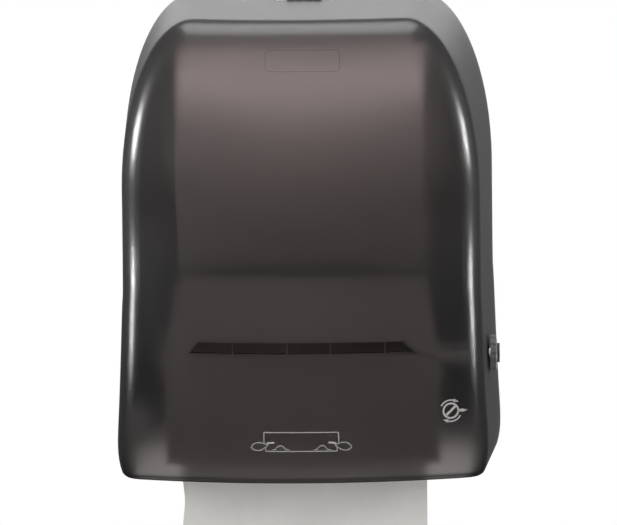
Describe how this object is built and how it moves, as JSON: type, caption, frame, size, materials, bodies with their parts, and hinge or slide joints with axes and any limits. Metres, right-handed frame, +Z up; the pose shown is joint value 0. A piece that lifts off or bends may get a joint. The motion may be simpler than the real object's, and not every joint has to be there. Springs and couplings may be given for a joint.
{
  "type": "hands-free roll towel dispenser",
  "caption": "Wall-mounted roll towel dispenser with a smoked translucent hood, feed drum, knife, pinch roller, side knob and towel roll, and a sheet that hangs out below.",
  "frame": {"origin": "centre of the four wall screws, in the plane of the wall", "axes": "+Y into the wall, +Z up, +X to the right of a person who stands in front; the hood opens towards -Y"},
  "size_m": [0.3212, 0.2441, 0.4676],
  "materials": {
    "smoked_cover": "gloss, smoked translucent plastic",
    "latch_plastic": "satin",
    "zinc_steel": "zinc plated",
    "shaft_steel": "ground",
    "spring_steel": "drawn wire",
    "blade_steel": "stamped",
    "plate_plastic": "fine texture",
    "frame_plastic": "fine texture",
    "panel_plastic": "satin",
    "bearing_plastic": "natural acetal",
    "drum_plastic": "satin",
    "grip_rubber": "matt",
    "knob_plastic": "satin",
    "arm_plastic": "fine texture",
    "hub_plastic": "natural acetal",
    "roll_paper": "creped paper",
    "core_board": "board",
    "sheet_paper": "creped paper"
  },
  "bodies": {
    "module": {"back_plate": "plate_plastic", "right_side_frame": "frame_plastic", "left_side_frame": "frame_plastic", "front_panel": "panel_plastic", "paper_chute": "frame_plastic", "right_bearing": "bearing_plastic", "left_bearing": "bearing_plastic", "right_cam": "bearing_plastic", "left_cam": "bearing_plastic", "drive_spring": "spring_steel", "spring_anchor": "zinc_steel", "pinch_springs": "spring_steel", "right_roll_arm": "arm_plastic", "right_hub": "hub_plastic", "left_arm_pin": "shaft_steel", "towel_sheet": "sheet_paper", "hinge_pins": "zinc_steel", "latch_strike": "zinc_steel", "frame_screws": "zinc_steel", "arm_screws": "zinc_steel", "panel_screws": "zinc_steel"},
    "hood": {"cover": "smoked_cover"},
    "latch": {"latch_slide": "latch_plastic"},
    "drum": {"drum_knife_half": "drum_plastic", "drum_plain_half": "drum_plastic", "drum_grip_strips": "grip_rubber", "drum_shaft": "shaft_steel", "shaft_coupling": "bearing_plastic", "crank": "zinc_steel", "crank_pin": "shaft_steel"},
    "knife": {"knife_carrier": "bearing_plastic", "knife_blade": "blade_steel", "cam_rollers": "bearing_plastic"},
    "pinch_carriage": {"pinch_blocks": "bearing_plastic"},
    "pinch": {"pinch_roller": "grip_rubber", "pinch_shaft": "bearing_plastic"},
    "roll": {"towel_roll": "roll_paper", "roll_core": "core_board"},
    "left_arm": {"left_roll_arm": "arm_plastic", "left_hub": "hub_plastic"},
    "knob": {"feed_knob": "knob_plastic", "knob_stem": "shaft_steel", "knob_clip": "zinc_steel"}
  },
  "joints": [
    {"name": "cover_hinge", "type": "hinge", "parent": "module", "child": "hood", "pos_m": [0, -0.016, -0.186], "axis": [1, 0, 0], "range_deg": [0, 85]},
    {"name": "latch_move", "type": "slide", "parent": "hood", "child": "latch", "axis": [1, 0, 0], "range_m": [0, 0.005]},
    {"name": "roll_spin", "type": "hinge", "parent": "module", "child": "roll", "pos_m": [0, -0.118, 0.054], "axis": [1, 0, 0], "continuous": true},
    {"name": "drum_spin", "type": "hinge", "parent": "module", "child": "drum", "pos_m": [0, -0.112, -0.106], "axis": [1, 0, 0], "continuous": true},
    {"name": "knife_out", "type": "slide", "parent": "drum", "child": "knife", "axis": [0, -0.866, -0.5], "range_m": [0, 0.006]},
    {"name": "pinch_lift", "type": "slide", "parent": "module", "child": "pinch_carriage", "axis": [0, 0.7071, 0.7071], "range_m": [0, 0.002], "deforming": ["pinch_springs"]},
    {"name": "pinch_spin", "type": "hinge", "parent": "pinch_carriage", "child": "pinch", "pos_m": [0, -0.07063, -0.06463], "axis": [1, 0, 0], "continuous": true},
    {"name": "arm_swing", "type": "hinge", "parent": "module", "child": "left_arm", "pos_m": [-0.108, -0.014, 0.054], "axis": [0, 0, -1], "range_deg": [0, 8]},
    {"name": "knob_spin", "type": "hinge", "parent": "hood", "child": "knob", "pos_m": [0, -0.112, -0.106], "axis": [1, 0, 0], "continuous": true}
  ],
  "couplings": [
    {"joint": "drum_spin", "follows": "roll_spin", "ratio": -2.0206},
    {"joint": "pinch_spin", "follows": "roll_spin", "ratio": 10.889},
    {"joint": "knob_spin", "follows": "roll_spin", "ratio": -2.0206}
  ]
}
